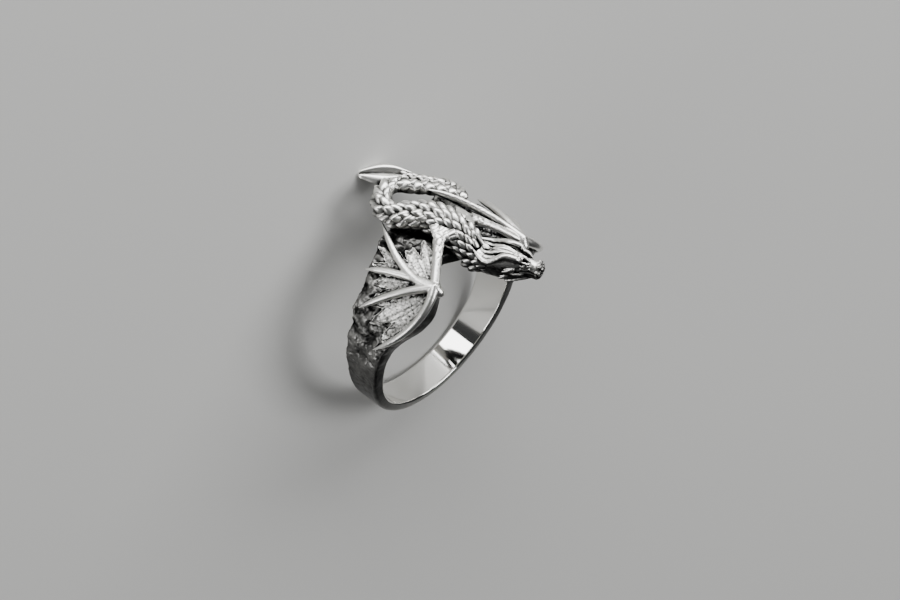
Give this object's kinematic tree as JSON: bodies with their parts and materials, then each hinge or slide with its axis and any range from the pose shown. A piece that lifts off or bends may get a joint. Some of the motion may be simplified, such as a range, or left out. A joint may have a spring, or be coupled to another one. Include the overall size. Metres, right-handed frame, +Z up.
{
  "type": "dragon ring",
  "caption": "Finger ring cast as a scaled dragon that loops over the crown and reaches out its head, with a spread bat wing raised on each shoulder and a leaf at the tail's end.",
  "frame": {"origin": "centre of the underside of the box round the ring as it lies on its side", "axes": "+Z up from the surface, -Y towards the crown of the ring and the dragon, +X towards the left wing"},
  "size_m": [0.0226, 0.0266, 0.0182],
  "materials": {
    "silver": "cast sterling silver, blackened in its recesses, with polished high points and a mirror bright inside"
  },
  "bodies": {
    "root": {"dragon_ring": "silver"}
  },
  "joints": []
}
